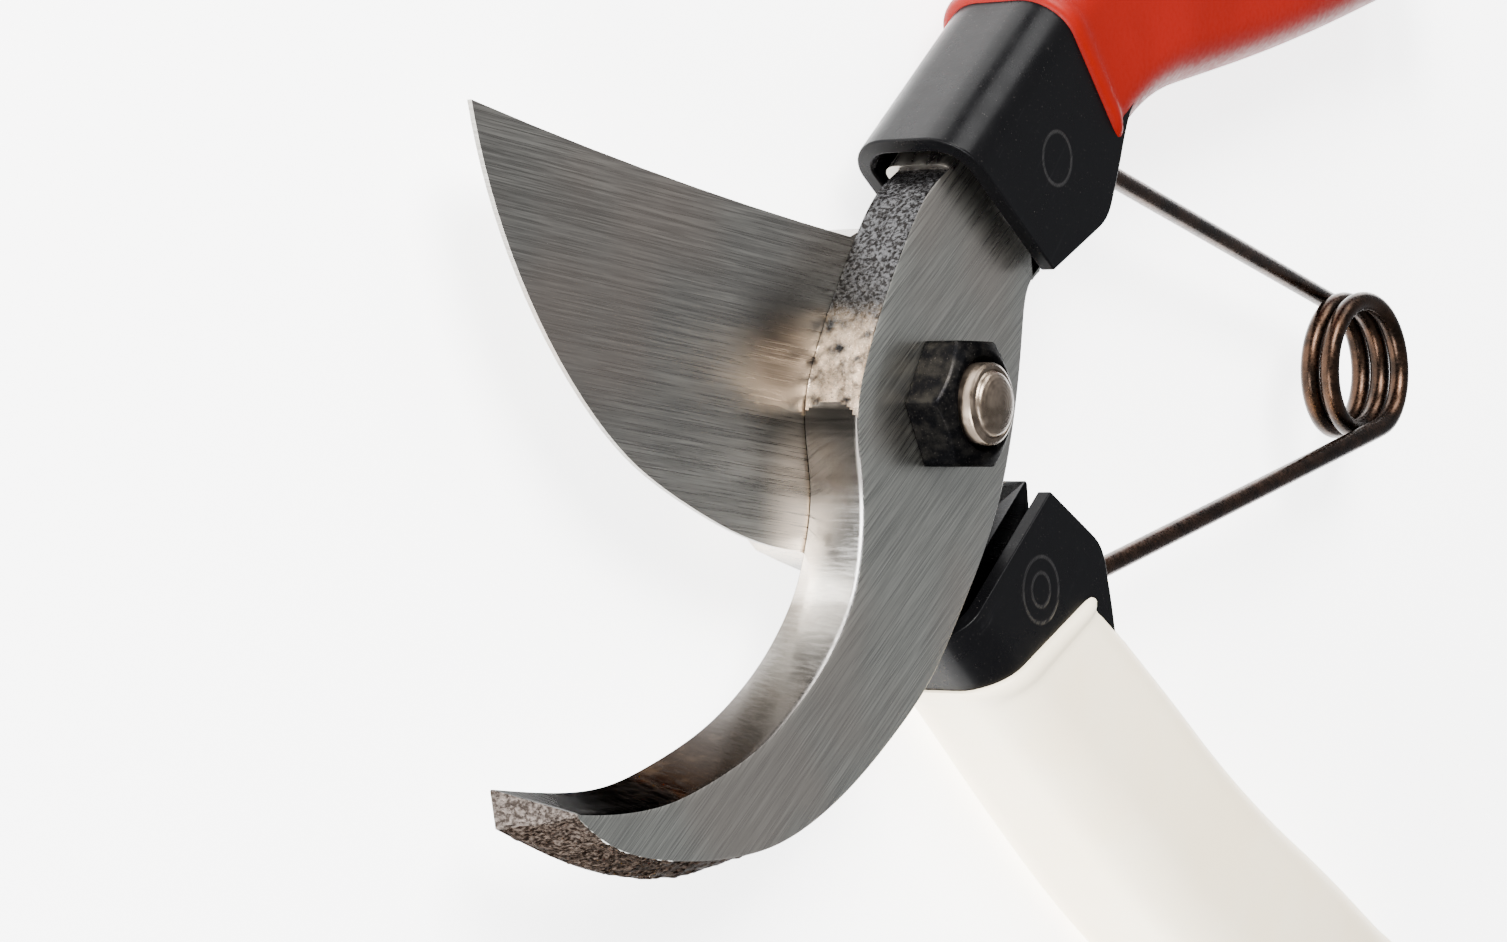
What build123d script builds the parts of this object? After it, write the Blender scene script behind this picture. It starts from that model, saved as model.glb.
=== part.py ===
from build123d import *
from math import acos, atan2, degrees, pi, radians, sin, sqrt
import os

os.makedirs("parts", exist_ok=True)

# Bypass pruning shears, open, lying on their back. Millimetres.
# Origin: on the pivot's axis, on the flat face of the bolt's head, which is the face they rest on.
# +X runs from the pivot towards the handles, +Z runs along the pivot towards the nut.

# ---- heights along the pivot ----
HEAD_H = 4.6            # bolt head
BLADE_T = 5.0           # cutting blade
HOOK_T = 6.2            # counter blade
RUN_GAP = 0.05          # running clearance on the turning faces
NUT_H = 4.6
BOLT_RIM_H = 1.0        # threaded end that stands above the nut
BOLT_DOME_H = 1.1       # dome on that end
SHEAR_Z = HEAD_H + BLADE_T
NUT_Z = SHEAR_Z + HOOK_T

# ---- pivot ----
BOLT_R = 4.0
HEAD_R = 7.6
HEAD_CHAMFER = 1.0
NUT_FLATS = 12.0
NUT_CHAMFER = 0.9
HEAD_FLATS = 13.0       # two spanner flats on the bolt's head

# ---- pressed steel channels of the handles ----
SHEET = 1.6
CHANNEL_W = 11.0        # outside width, along Z
BEND_R = 3.1            # outside radius of the two bends
BACK = 8.5              # from the handle's line to the outside of the back
WALL_EDGE = 6.6         # from the handle's line to the free edge of the walls, inside the grip
TANG_H = CHANNEL_W - 2 * SHEET
SHELL_END_GAP = 28.0    # the channel stops this far short of the grip's end

# ---- grips ----
GROOVE_HALF = 4.5       # half width of the groove along the spring's side
GROOVE_FLOOR = 6.2      # from the handle's line to the floor of the groove
GROOVE_END_GAP = 13.5   # the groove stops this far short of the grip's end

# ---- spring ----
WIRE_R = 1.1
COIL_R = 7.3            # mean radius of the coil
COIL_CENTRE = (94.7, 5.7)
COIL_HALF = 3.0         # half of the coil's height, centre to centre of the end turns
FOOT_PIN_R = 1.1
FOOT_CLEAR = 0.08       # running clearance of the upper foot on its pin
OPEN_CLEAR = 0.65       # clearance of the lower foot, the pivot where the linkage is opened
UPPER_FOOT = (24.6, 27.7)
LOWER_FOOT = (26.5, -19.95)
LOWER_PIN = (26.1, -19.5)       # the lower foot wanders round its pin by less than its clearance
SPLIT_GAP = 0.1         # between the two halves of the coil

# ---- rivets ----
RED_RIVET_R = 2.0
WHITE_RIVET_R = 3.2
HIDDEN_RIVET_R = 2.0

# ---- latch ----
LATCH_WIRE_R = 0.85
BUSH_R = 2.0
LATCH_CLEAR = 0.06
BUSH_LOW = 2.3
BUSH_HIGH = 15.4
BAIL_L = 26.0           # from the bush to the crossbar
BAIL_LOW = 0.9          # height of the rear leg, centre of the wire
BAIL_HIGH = 19.5        # height of the front leg
BAIL_STUB = 5.0
BAIL_BEND = 2.5
BAIL_TIGHT = 1.3
BAIL_REST = 199.0       # direction of the bail when it is stowed, in degrees from +X


class Handle:
    """The line that a handle's channel follows, seen from above, and its height."""

    def __init__(self, name, start, headings, runs, bends, rear, inward):
        self.name = name
        self.headings = headings
        self.rear = rear            # height of the channel's rear face
        self.inward = inward        # +1 where the spring is on the left of the line, -1 on the right
        self.corners = [Vector(*start)]
        for angle, run in zip(headings, runs):
            self.corners.append(self.corners[-1] + Vector(run, 0).rotate(Axis.Z, angle))
        self.spine = FilletPolyline(*self.corners, radius=bends)

    def at(self, along, across, height=0.0):
        """A point beside the first straight run, across being positive on the spring's side."""
        forward = Vector(1, 0).rotate(Axis.Z, self.headings[0])
        side = forward.rotate(Axis.Z, 90 * self.inward)
        return self.corners[0] + forward * along + side * across + Vector(0, 0, height)

    def line(self, short=0.0):
        """The whole line as a wire, ending short of its last corner."""
        return self.spine.trim(0, 1 - short / self.spine.length)

    def section(self, distance, across, height):
        """A plane square across the line: its X points to the spring's side, its centre is offset."""
        place = distance / self.spine.length
        forward = self.spine % place
        side = forward.rotate(Axis.Z, 90 * self.inward)
        centre = (self.spine @ place) + side * across + Vector(0, 0, height)
        return Plane(origin=centre, x_dir=side, z_dir=forward)


RED = Handle(
    "red",
    start=(4.85, 17.6),
    headings=(41.0, 15.6, 7.0),
    runs=(34.0, 66.0, 26.0),
    bends=(52.0, 110.0),
    rear=SHEAR_Z + HOOK_T + SHEET - CHANNEL_W,
    inward=-1,
)
WHITE = Handle(
    "white",
    start=(8.4, -13.9),
    headings=(-38.0, -26.7, -18.0),
    runs=(57.0, 41.0, 27.0),
    bends=(140.0, 110.0),
    rear=SHEAR_Z - BLADE_T - SHEET,
    inward=1,
)
BUSH_PLACE = WHITE.section(117.0, 4.1, 0).origin

# Corners of each channel's front end, as (along, across): back, toe, shoulder, heel, neck.
RED_NOSE = ((0.4, -BACK), (4.9, 9.9), (16.4, 12.6), (24.0, 8.6), (28.0, WALL_EDGE))
WHITE_NOSE = ((2.0, -BACK), (5.7, 11.4), (16.9, 13.3), (21.6, 10.1), (26.0, WALL_EDGE))

# Grip sections: distance along the line, reach to the back, reach to the spring's side,
# height of the rear face and of the front face.
RED_GRIP = (
    (21.0, 10.3, 10.3, 4.4, 19.3),
    (28.0, 10.4, 9.6, 3.4, 19.4),
    (40.0, 10.4, 9.4, 1.6, 19.5),
    (60.0, 10.4, 10.0, 0.0, 19.5),
    (82.0, 10.3, 10.0, 0.0, 19.3),
    (100.0, 9.4, 9.8, 2.3, 18.5),
    (112.0, 7.6, 10.1, 4.4, 18.2),
    (124.0, 5.6, 10.5, 4.8, 18.0),
)
WHITE_GRIP = (
    (8.0, 10.2, 10.1, 1.4, 15.7),
    (20.0, 10.2, 10.0, 0.9, 16.4),
    (34.0, 10.3, 9.9, 0.3, 17.4),
    (56.0, 10.4, 10.0, 0.0, 18.2),
    (80.0, 10.3, 10.0, 0.0, 18.0),
    (98.0, 9.4, 9.8, 2.1, 16.8),
    (111.0, 7.6, 10.1, 2.3, 15.6),
    (123.0, 5.6, 10.5, 2.5, 15.2),
)
GRIP_CORNER = 4.6
GRIP_END_FILLET = 3.0

# Each grip's mouth, as (along the line, degrees that the mouth leans towards the grip's end).
RED_MOUTH = (24.6, 1.0)
WHITE_MOUTH = (16.0, 30.0)

# Inside the channels, as lengths along the line.
RED_TANG_WIDE = 16.5
WHITE_TANG_WIDE = 13.0
TANG_LONG = 44.0
TANG_START = -2.0       # the tang is made from here, then trimmed to the channel's front end
TANG_AHEAD = 0.6        # the tang stands this far out of the channel's end
TANG_PROUD = 1.0        # and this far beyond the walls, on the spring's side
TANG_SHOULDER = 5.2     # spring's side of the wide part where it ends, clear of the turning foot
TANG_REACH = -0.8       # spring's side of the narrow tail of the tang, from the handle's line
TANG_BACK = BACK - SHEET
INSIDE_BEND_R = BEND_R - SHEET
TANG_CORNER = INSIDE_BEND_R + 0.1
RED_RIVETS = ((12.5, 1.9), (36.0, -3.8))
WHITE_RIVETS = ((10.2, 2.5), (36.0, -3.8))
RED_FOOT_Z = SHEAR_Z + 1.5
WHITE_FOOT_Z = SHEAR_Z - 0.5
FAR = 40.0              # size of a trimming tool, larger than what it trims
BOTTOM = (Align.CENTER, Align.CENTER, Align.MIN)

# Corners of each blade inside its channel, as (along, across).
BLADE_TANG = ((9, 6), (9, -5))
HOOK_TANG = ((0.6, -5.3), (12, -4), (12, 9))

# ---- cutting blade, seen from above ----
BLADE_TIP = (-64.0, 25.2)
BLADE_SPINE = (-34.9, 19.9)
BLADE_SHOULDER = (-6.8, 16.0)
BLADE_ROUND = ((3.4, 16.2), (12.4, 9.0), (12.4, -1.0), (13.0, -6.4))
BLADE_TOE = (19.4, -8.0)
BLADE_LOWER = (6.2, -18.9)
BLADE_BELLY = (-8.0, -16.0)
BLADE_HEEL = (-15.5, -13.9)
BLADE_EDGE = ((-24.0, -12.5), (-33.9, -9.1), (-41.4, -5.5), (-46.4, -1.9), (-53.3, 5.0), (-60.1, 15.1))
BLADE_GROUND_TIP = (-51.5, 22.6)  # where the ground bevel runs out through the spine
BLADE_LAND = 0.5        # thickness left at the cutting edge
GRIND_W = 9.0           # width of the hollow ground bevel on the rear
GRIND_STEPS = 8         # points that place the ground bevel's rear line

# ---- counter blade, seen from above ----
HOOK_TIP = (-61.6, -33.6)
HOOK_CORNER = (-60.8, -37.2)
HOOK_EDGE = ((-46.8, -34.4), (-31.9, -30.3), (-20.5, -22.9), (-14.7, -13.9), (-13.75, -8.0))
HOOK_WAIST = (-14.6, -0.5)
HOOK_SPINE = ((-11.2, 7.9), (-6.2, 15.9))
HOOK_NECK = (-1.2, 21.7)
HOOK_SHOULDER = (17.4, 13.4)
HOOK_RIGHT = ((14.9, 11.0), (14.0, 4.5), (12.0, -4.4), (8.0, -13.4), (1.1, -22.7))
HOOK_TURN = (-7.5, -30.7)
HOOK_OUTER = ((-16.8, -36.8), (-24.9, -40.4), (-31.9, -42.6), (-39.4, -42.8), (-50.4, -40.9))
HOOK_LAND = 1.2         # height of the square wall below the bevels
STRIP_TIP = (-56.9, -35.6)
STRIP = ((-44.8, -35.6), (-33.5, -32.5), (-20.0, -24.3), (-14.7, -15.7), (-14.0, -9.0))
BEVEL_TIP = (-56.9, -36.1)
BEVEL = ((-17.0, -36.6), (-25.0, -39.7), (-33.5, -41.1), (-45.5, -40.5), (-52.5, -38.9))


def rounded_back(plane, back, edge, width, corner):
    """A rectangle across a handle, from -back to edge, with its two corners at the back rounded."""
    with BuildSketch(plane) as profile:
        with Locations(((edge - back) / 2, 0)):
            Rectangle(edge + back, width)
        fillet(profile.vertices().group_by(Axis.X)[0], corner)
    return profile.sketch


def ahead_of(handle, nose, shift):
    """The space ahead of a channel's slanted front end, moved ahead by shift."""
    (back_along, back_across), (toe_along, toe_across) = nose[:2]
    lean = (toe_along - back_along) / (toe_across - back_across)
    points = (
        handle.at(back_along - shift - lean * FAR, back_across - FAR),
        handle.at(back_along - shift + lean * FAR, back_across + FAR),
        handle.at(-FAR, back_across + FAR),
        handle.at(-FAR, back_across - FAR),
    )
    return extrude(make_face(Polyline(*points, close=True)), amount=FAR)


def plate(handle, corners, base, height):
    """A flat plate on a polygon given as (along, across)."""
    points = [handle.at(along, across, base) for along, across in corners]
    return extrude(make_face(Polyline(*points, close=True)), amount=height)


def nose_outline(nose, back):
    """A channel's wide front end, closed along its back."""
    return ((nose[0][0], back), *nose[1:], (nose[-1][0], back))


def tang(handle, nose, wide):
    """The part of a blade that the channel grips: wide at its front, with a narrow tail."""
    middle = handle.rear + CHANNEL_W / 2
    toe_along, toe_across = nose[1]
    proud = toe_across + TANG_PROUD
    shoulder = ((TANG_START, 0), (TANG_START, proud), (toe_along, proud), (wide, TANG_SHOULDER), (wide, 0))
    start = handle.section(0, 0, middle)
    block = extrude(rounded_back(start, TANG_BACK, 0, TANG_H, TANG_CORNER), amount=wide)
    ahead = extrude(rounded_back(start, TANG_BACK, 0, TANG_H, TANG_CORNER), amount=TANG_START)
    tail = sweep(rounded_back(start, TANG_BACK, TANG_REACH, TANG_H, TANG_CORNER), path=handle.line())
    tail = split(tail, bisect_by=handle.section(TANG_LONG, 0, middle), keep=Keep.BOTTOM)
    front = plate(handle, shoulder, handle.rear + SHEET, TANG_H)
    return block + ahead + tail + front - ahead_of(handle, nose, TANG_AHEAD)


def outline(*pieces):
    """A face inside a closed run of curves."""
    return make_face(Curve() + list(pieces))


# ---- handle channels ----
for handle, nose, rivets, head_r in (
    (RED, RED_NOSE, RED_RIVETS, RED_RIVET_R),
    (WHITE, WHITE_NOSE, WHITE_RIVETS, WHITE_RIVET_R),
):
    middle = handle.rear + CHANNEL_W / 2
    line = handle.line(short=SHELL_END_GAP)
    outside = rounded_back(handle.section(0, 0, middle), BACK, WALL_EDGE, CHANNEL_W, BEND_R)
    inside = rounded_back(handle.section(0, 0, middle), TANG_BACK, FAR, TANG_H, INSIDE_BEND_R)
    rear_nose = plate(handle, nose_outline(nose, BEND_R - BACK), handle.rear, SHEET)
    front_nose = Pos(0, 0, CHANNEL_W - SHEET) * rear_nose
    ahead = ahead_of(handle, nose, 0)
    with BuildPart() as shell:
        sweep(outside, path=line)
        add([rear_nose, front_nose])
        sweep(inside, path=line, mode=Mode.SUBTRACT)
        add(ahead, mode=Mode.SUBTRACT)
        for distance, across in rivets:
            with Locations(handle.section(distance, across, middle).origin):
                Cylinder(HIDDEN_RIVET_R, 2 * CHANNEL_W, mode=Mode.SUBTRACT)
        with Locations(handle.section(*rivets[0], handle.rear + CHANNEL_W).origin):
            Cylinder(head_r, 2 * SHEET, mode=Mode.SUBTRACT)
    shell.part.label = handle.name + "_handle_shell"
    export_step(shell.part, f"parts/{shell.part.label}.step")

    # One rivet shows ahead of the grip, with its head let into the front wall, one is under the grip.
    with BuildPart() as tang_rivets:
        for distance, across in rivets:
            with Locations(handle.section(distance, across, middle).origin):
                Cylinder(HIDDEN_RIVET_R, CHANNEL_W)
        with Locations(handle.section(*rivets[0], handle.rear + CHANNEL_W - SHEET / 2).origin):
            Cylinder(head_r, SHEET)
    tang_rivets.part.label = handle.name + "_tang_rivets"
    export_step(tang_rivets.part, f"parts/{tang_rivets.part.label}.step")

# ---- grips ----
for handle, nose, stations, (mouth_along, mouth_lean) in (
    (RED, RED_NOSE, RED_GRIP, RED_MOUTH),
    (WHITE, WHITE_NOSE, WHITE_GRIP, WHITE_MOUTH),
):
    middle = handle.rear + CHANNEL_W / 2
    across_mouth = Vector(1, 0).rotate(Axis.Z, handle.headings[0] - handle.inward * mouth_lean)
    mouth = Plane(origin=handle.at(mouth_along, 0, middle), z_dir=across_mouth)
    channel = rounded_back(handle.section(0, 0, middle), BACK, WALL_EDGE, CHANNEL_W, BEND_R)
    groove = handle.section(0, GROOVE_FLOOR + FAR / 2, SHEAR_Z) * Rectangle(FAR, 2 * GROOVE_HALF)
    filled_nose = plate(handle, nose_outline(nose, 0), handle.rear, CHANNEL_W)
    channel_line = handle.line(short=SHELL_END_GAP)
    groove_line = handle.line(short=GROOVE_END_GAP)
    with BuildPart() as grip:
        for distance, back, side, low, high in stations:
            with BuildSketch(handle.section(distance, (side - back) / 2, (low + high) / 2)):
                RectangleRounded(back + side, high - low, GRIP_CORNER)
        loft()
        fillet(grip.faces().sort_by(Axis.X)[-1].edges(), GRIP_END_FILLET)
        split(bisect_by=mouth, keep=Keep.TOP)
        sweep(channel, path=channel_line, mode=Mode.SUBTRACT)
        add(filled_nose, mode=Mode.SUBTRACT)
        sweep(groove, path=groove_line, mode=Mode.SUBTRACT)
        if handle is WHITE:
            with Locations(BUSH_PLACE):
                Cylinder(BUSH_R, FAR, mode=Mode.SUBTRACT)
    grip.part.label = handle.name + "_grip"
    export_step(grip.part, f"parts/{grip.part.label}.step")

# ---- pins that carry the spring's feet ----
for handle, foot in ((RED, UPPER_FOOT), (WHITE, LOWER_PIN)):
    with BuildPart() as spring_pin:
        with Locations((*foot, handle.rear + CHANNEL_W / 2)):
            Cylinder(FOOT_PIN_R, TANG_H)
    spring_pin.part.label = handle.name + "_spring_pin"
    export_step(spring_pin.part, f"parts/{spring_pin.part.label}.step")

# ---- cutting blade, flat on the side that passes the counter blade ----
spine = ThreePointArc(BLADE_TIP, BLADE_SPINE, BLADE_SHOULDER)
round_pivot = Spline(BLADE_SHOULDER, *BLADE_ROUND, BLADE_TOE)
to_tang = Polyline(BLADE_TOE, *[WHITE.at(*corner) for corner in BLADE_TANG], BLADE_LOWER)
belly = ThreePointArc(BLADE_LOWER, BLADE_BELLY, BLADE_HEEL)
edge = Spline(BLADE_HEEL, *BLADE_EDGE, BLADE_TIP)
ground = []
for step in range(1, GRIND_STEPS):
    place = step / GRIND_STEPS
    inward = (edge % place).rotate(Axis.Z, -90)
    ground.append((edge @ place) + inward * (GRIND_W * sin(radians(90 * min(1, 3 * place)))))
ground_line = Spline(BLADE_HEEL, *ground, BLADE_GROUND_TIP)
ground_spine = ThreePointArc(BLADE_GROUND_TIP, BLADE_SPINE, BLADE_SHOULDER)
top = Pos(0, 0, SHEAR_Z - RUN_GAP - BLADE_LAND) * outline(spine, round_pivot, to_tang, belly, edge)
bottom = Pos(0, 0, HEAD_H + RUN_GAP) * outline(ground_spine, round_pivot, to_tang, belly, ground_line)
white_tang = tang(WHITE, WHITE_NOSE, WHITE_TANG_WIDE)
with BuildPart() as cutting_blade:
    extrude(top, amount=BLADE_LAND)
    loft([bottom, top], ruled=True)
    add(white_tang)
    Cylinder(BOLT_R + RUN_GAP, FAR, mode=Mode.SUBTRACT)
    for distance, across in WHITE_RIVETS:
        with Locations(WHITE.section(distance, across, 0).origin):
            Cylinder(HIDDEN_RIVET_R, FAR, mode=Mode.SUBTRACT)
cutting_blade.part.label = "cutting_blade"
export_step(cutting_blade.part, "parts/cutting_blade.step")

# ---- counter blade, its hook bevelled along the inner edge and round the toe ----
right = (
    Polyline(HOOK_NECK, *[RED.at(*corner) for corner in HOOK_TANG], HOOK_SHOULDER),
    Spline(HOOK_SHOULDER, *HOOK_RIGHT, HOOK_TURN),
)
back = Spline(HOOK_WAIST, *HOOK_SPINE, HOOK_NECK)
low_face = outline(
    Spline(HOOK_TIP, *HOOK_EDGE, HOOK_WAIST), back, *right,
    Spline(HOOK_TURN, *HOOK_OUTER, HOOK_CORNER), Line(HOOK_CORNER, HOOK_TIP),
)
high_face = outline(
    Spline(STRIP_TIP, *STRIP, HOOK_WAIST), back, *right,
    Spline(HOOK_TURN, *BEVEL, BEVEL_TIP), Line(BEVEL_TIP, STRIP_TIP),
)
red_tang = tang(RED, RED_NOSE, RED_TANG_WIDE)
with BuildPart() as counter_blade:
    extrude(Pos(0, 0, SHEAR_Z) * low_face, amount=HOOK_LAND)
    loft([Pos(0, 0, SHEAR_Z + HOOK_LAND) * low_face, Pos(0, 0, NUT_Z) * high_face], ruled=True)
    add(red_tang)
    Cylinder(BOLT_R, FAR, mode=Mode.SUBTRACT)
    for distance, across in RED_RIVETS:
        with Locations(RED.section(distance, across, 0).origin):
            Cylinder(HIDDEN_RIVET_R, FAR, mode=Mode.SUBTRACT)
counter_blade.part.label = "counter_blade"
export_step(counter_blade.part, "parts/counter_blade.step")

# ---- pivot bolt and nut ----
with BuildPart() as pivot_bolt:
    Cylinder(HEAD_R, HEAD_H, align=BOTTOM)
    chamfer(pivot_bolt.edges().group_by(Axis.Z)[0], HEAD_CHAMFER)
    Box(HEAD_FLATS, 2 * HEAD_R, HEAD_H, align=BOTTOM, mode=Mode.INTERSECT)
    with Locations((0, 0, HEAD_H)):
        Cylinder(BOLT_R, NUT_Z + NUT_H + BOLT_RIM_H - HEAD_H, align=BOTTOM)
    dome_r = (BOLT_R ** 2 + BOLT_DOME_H ** 2) / (2 * BOLT_DOME_H)
    dome_z = NUT_Z + NUT_H + BOLT_RIM_H
    with BuildSketch(Plane.XZ):
        with BuildLine():
            Line((0, dome_z), (BOLT_R, dome_z))
            RadiusArc((BOLT_R, dome_z), (0, dome_z + BOLT_DOME_H), -dome_r)
            Line((0, dome_z + BOLT_DOME_H), (0, dome_z))
        make_face()
    revolve(axis=Axis.Z)
pivot_bolt.part.label = "pivot_bolt"
export_step(pivot_bolt.part, "parts/pivot_bolt.step")

with BuildPart() as pivot_nut:
    with BuildSketch(Plane.XY.offset(NUT_Z)):
        RegularPolygon(NUT_FLATS / 2, 6, major_radius=False)
    extrude(amount=NUT_H)
    with BuildSketch(Plane.XZ):
        with BuildLine():
            corner_r = NUT_FLATS / sqrt(3)
            Polyline(
                (corner_r + 1, NUT_Z + NUT_H - (corner_r + 1 - NUT_FLATS / 2 + NUT_CHAMFER) / sqrt(3)),
                (corner_r + 1, NUT_Z + NUT_H + 1),
                (NUT_FLATS / 2 - NUT_CHAMFER, NUT_Z + NUT_H + 1),
                (NUT_FLATS / 2 - NUT_CHAMFER, NUT_Z + NUT_H),
                close=True,
            )
        make_face()
    revolve(axis=Axis.Z, mode=Mode.SUBTRACT)
    Cylinder(BOLT_R, FAR * 2, mode=Mode.SUBTRACT)
pivot_nut.part.label = "pivot_nut"
export_step(pivot_nut.part, "parts/pivot_nut.step")

# ---- spring: one wire, modelled as two halves that meet in the middle of the coil ----
centre = Vector(*COIL_CENTRE)
feet = (Vector(*UPPER_FOOT, RED_FOOT_Z), Vector(*LOWER_FOOT, WHITE_FOOT_Z))
leaves = []
for foot, side in zip(feet, (-1, 1)):
    arm = Vector(foot.X, foot.Y) - centre
    leaves.append(degrees(atan2(arm.Y, arm.X)) + side * degrees(acos(COIL_R / arm.length)))
TURN = leaves[0] - leaves[1] + 720
PITCH = 2 * COIL_HALF * 360 / TURN
GAP_ANGLE = degrees(SPLIT_GAP / COIL_R) / 2
GAP_RISE = PITCH * GAP_ANGLE / 360
upper_eye_r = FOOT_PIN_R + FOOT_CLEAR + WIRE_R
open_eye_r = FOOT_PIN_R + OPEN_CLEAR + WIRE_R
for name, foot, start, low, eye_r in (
    ("spring_upper", feet[0], leaves[0], SHEAR_Z - COIL_HALF, upper_eye_r),
    ("spring_lower", feet[1], leaves[0] - TURN / 2 - GAP_ANGLE, SHEAR_Z + GAP_RISE, open_eye_r),
):
    turns = Helix(PITCH, COIL_HALF - GAP_RISE, COIL_R, lefthand=True)
    turns = Pos(centre.X, centre.Y, low) * Rot(0, 0, start) * turns
    if low < SHEAR_Z:
        joint = turns @ 0
        free_end = Plane(origin=turns @ 1, z_dir=turns % 1)
    else:
        joint = turns @ 1
        free_end = Plane(origin=turns @ 0, z_dir=turns % 0)
    leg = Line(joint, foot + (joint - foot).normalized() * eye_r)
    path = Wire([turns.edge(), leg.edge()])
    with BuildPart() as half:
        with BuildSketch(free_end):
            Circle(WIRE_R)
        sweep(path=path, is_frenet=True, transition=Transition.TRANSFORMED)
        with Locations(foot):
            Torus(eye_r, WIRE_R)
    half.part.label = name
    export_step(half.part, f"parts/{name}.step")

# ---- latch ----
with BuildPart() as latch_bush:
    with Locations(BUSH_PLACE + Vector(0, 0, BUSH_LOW)):
        Cylinder(BUSH_R, BUSH_HIGH - BUSH_LOW, align=BOTTOM)
        Cylinder(LATCH_WIRE_R + LATCH_CLEAR, BUSH_HIGH - BUSH_LOW, align=BOTTOM, mode=Mode.SUBTRACT)
latch_bush.part.label = "latch_bush"
export_step(latch_bush.part, "parts/latch_bush.step")

bar = BUSH_PLACE + Vector(BAIL_L, 0).rotate(Axis.Z, BAIL_REST)
wire = FilletPolyline(
    BUSH_PLACE + Vector(0, 0, BAIL_LOW + BAIL_STUB),
    BUSH_PLACE + Vector(0, 0, BAIL_LOW),
    bar + Vector(0, 0, BAIL_LOW),
    bar + Vector(0, 0, BAIL_HIGH),
    BUSH_PLACE + Vector(0, 0, BAIL_HIGH),
    BUSH_PLACE + Vector(0, 0, BUSH_HIGH - BAIL_STUB),
    radius=(BAIL_TIGHT, BAIL_BEND, BAIL_BEND, BAIL_TIGHT),
)
with BuildPart() as latch_bail:
    with BuildSketch(Plane(origin=wire @ 0, z_dir=wire % 0)):
        Circle(LATCH_WIRE_R)
    sweep(path=wire)
latch_bail.part.label = "latch_bail"
export_step(latch_bail.part, "parts/latch_bail.step")
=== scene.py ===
import bmesh
import bpy
import math
import numpy as np
from mathutils import Matrix, Vector, noise


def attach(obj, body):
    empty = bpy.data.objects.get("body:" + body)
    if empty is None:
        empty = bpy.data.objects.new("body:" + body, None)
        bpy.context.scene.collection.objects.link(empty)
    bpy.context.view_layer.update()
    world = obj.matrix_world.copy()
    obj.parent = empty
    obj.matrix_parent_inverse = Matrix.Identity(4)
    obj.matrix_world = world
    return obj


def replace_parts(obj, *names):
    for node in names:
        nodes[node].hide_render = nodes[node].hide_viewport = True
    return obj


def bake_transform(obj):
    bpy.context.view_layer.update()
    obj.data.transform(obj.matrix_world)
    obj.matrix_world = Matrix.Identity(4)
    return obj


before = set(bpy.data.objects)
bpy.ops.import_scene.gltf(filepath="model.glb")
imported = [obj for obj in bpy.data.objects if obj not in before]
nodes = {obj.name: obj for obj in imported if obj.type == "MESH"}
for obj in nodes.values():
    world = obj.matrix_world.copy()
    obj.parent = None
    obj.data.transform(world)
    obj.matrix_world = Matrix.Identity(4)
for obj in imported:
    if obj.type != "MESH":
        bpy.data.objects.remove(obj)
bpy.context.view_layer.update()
MM = 0.001

# Heights in the CAD part, in millimetres: the plane where the blades meet, and the nut.
SHEAR_Z = 9.6
NUT_Z = 15.8
NUT_H = 4.6
COUNTER, CUTTING = "counter_side", "cutting_side"


# ------------------------------------------------------------------ camera and light
VIEW_TILT = 54.5
VIEW_PLACE = (-0.3545, -0.0064, 0.2462)
LENS, SENSOR = 105.1, 36.0

SKY_TINT, SKY_STRENGTH = (0.93, 0.95, 1.0, 1), 0.5
LIT_PLACE = (0.02, 0.0, 0.01)
# Each softbox: its place and size in metres, its power in watts, and its tint.
SOFTBOXES = {
    "key": ((-0.45, 0.55, 0.65), (0.5, 0.4), 34.0, (1, 0.985, 0.96)),
    "fill": ((-0.55, -0.45, 0.15), (0.5, 0.3), 14.0, (0.97, 0.98, 1)),
    "rim": ((0.2, 0.7, 0.45), (0.3, 0.5), 6.0, (1, 1, 1)),
}


def camera():
    """Looks from the blades' side, down at the pivot, and turned only about the Y axis."""
    turn = math.radians(VIEW_TILT)
    x, y, z = VIEW_PLACE
    data = bpy.data.cameras.new("camera")
    data.lens = LENS
    data.sensor_width = SENSOR
    data.clip_start, data.clip_end = 0.01, 10.0
    eye = bpy.data.objects.new("camera", data)
    eye.matrix_world = Matrix((
        (math.cos(turn), 0, -math.sin(turn), x),
        (0, 1, 0, y),
        (math.sin(turn), 0, math.cos(turn), z),
        (0, 0, 0, 1),
    ))
    bpy.context.collection.objects.link(eye)
    bpy.context.scene.camera = eye


def softbox(name, place, size, power, tint):
    data = bpy.data.lights.new(name, "AREA")
    data.shape = "RECTANGLE"
    data.size, data.size_y = size
    data.energy = power
    data.color = tint
    lamp = bpy.data.objects.new(name, data)
    lamp.location = place
    aim = Vector(LIT_PLACE) - Vector(place)
    lamp.rotation_euler = aim.to_track_quat("-Z", "Y").to_euler()
    bpy.context.collection.objects.link(lamp)


def studio():
    """A pale sky and the softboxes."""
    world = bpy.data.worlds.new("studio")
    world.use_nodes = True
    back = world.node_tree.nodes["Background"]
    back.inputs["Color"].default_value = SKY_TINT
    back.inputs["Strength"].default_value = SKY_STRENGTH
    bpy.context.scene.world = world
    for name, light in SOFTBOXES.items():
        softbox(name, *light)


# ------------------------------------------------------------------ materials
# Sockets of the mix node for colours, which share their names with those for numbers.
MIX_FROM, MIX_TO, MIX_RESULT = 6, 7, 2


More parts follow.
